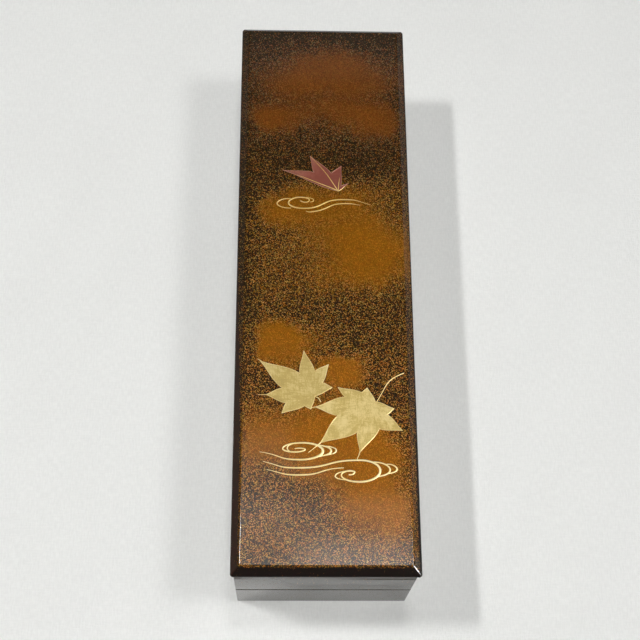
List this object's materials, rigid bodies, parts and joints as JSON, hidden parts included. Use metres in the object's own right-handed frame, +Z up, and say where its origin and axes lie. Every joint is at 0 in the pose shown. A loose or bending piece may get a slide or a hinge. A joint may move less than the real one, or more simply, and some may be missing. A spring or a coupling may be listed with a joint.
{
  "type": "writing box",
  "caption": "Long lacquered writing box with a lift-off lid and an inner tray that holds an inkstone, a water dropper, an ink stick and brushes.",
  "frame": {"origin": "centre of the underside, on the surface that the box stands on", "axes": "+Z up; the box is long in Y, and its near end, towards a person who writes at it, is at -Y; +X to that person's right"},
  "size_m": [0.08, 0.272, 0.068],
  "materials": {
    "sprinkled_lacquer": "glossy dark lacquer sprinkled with orange-brown powder",
    "black_lacquer": "glossy black-brown lacquer",
    "inkstone": "honed dark slate",
    "copper": "patinated copper alloy",
    "ink": "pressed soot ink, satin",
    "bamboo": "polished bamboo",
    "horn": "polished dark horn",
    "hair": "pale brush hair"
  },
  "bodies": {
    "base": {"base_board": "black_lacquer", "base_wall_right": "sprinkled_lacquer", "base_wall_left": "sprinkled_lacquer", "base_wall_near": "sprinkled_lacquer", "base_wall_far": "sprinkled_lacquer", "lip_right": "black_lacquer", "lip_left": "black_lacquer", "lip_near": "black_lacquer", "lip_far": "black_lacquer"},
    "lid": {"lid_top_panel": "sprinkled_lacquer", "lid_wall_right": "sprinkled_lacquer", "lid_wall_left": "sprinkled_lacquer", "lid_wall_near": "sprinkled_lacquer", "lid_wall_far": "sprinkled_lacquer"},
    "tray": {"tray_board": "black_lacquer", "tray_wall_right": "black_lacquer", "tray_wall_left": "black_lacquer", "tray_wall_near": "black_lacquer", "tray_wall_far": "black_lacquer", "tray_divider_long": "black_lacquer", "tray_divider_stone": "black_lacquer", "tray_divider_dropper": "black_lacquer", "brush_rest_near": "black_lacquer", "brush_rest_far": "black_lacquer"},
    "stone": {"inkstone": "inkstone"},
    "water_dropper": {"dropper_cup": "copper", "dropper_top": "copper"},
    "stick": {"ink_stick": "ink"},
    "brush_left": {"brush_left_handle": "bamboo", "brush_left_ferrule": "horn", "brush_left_hair": "hair"},
    "brush_right": {"brush_right_handle": "bamboo", "brush_right_ferrule": "horn", "brush_right_hair": "hair"}
  },
  "joints": [
    {"name": "lid_lift", "type": "slide", "parent": "base", "child": "lid", "axis": [0, 0, 1], "range_m": [0, 0.12]},
    {"name": "tray_lift", "type": "slide", "parent": "base", "child": "tray", "axis": [0, 0, 1], "range_m": [0, 0.018]},
    {"name": "inkstone_lift", "type": "slide", "parent": "tray", "child": "stone", "axis": [0, 0, 1], "range_m": [0, 0.019]},
    {"name": "dropper_lift", "type": "slide", "parent": "tray", "child": "water_dropper", "axis": [0, 0, 1], "range_m": [0, 0.019]},
    {"name": "stick_lift", "type": "slide", "parent": "tray", "child": "stick", "axis": [0, 0, 1], "range_m": [0, 0.019]},
    {"name": "brush_left_lift", "type": "slide", "parent": "tray", "child": "brush_left", "axis": [0, 0, 1], "range_m": [0, 0.019]},
    {"name": "brush_right_lift", "type": "slide", "parent": "tray", "child": "brush_right", "axis": [0, 0, 1], "range_m": [0, 0.019]}
  ]
}
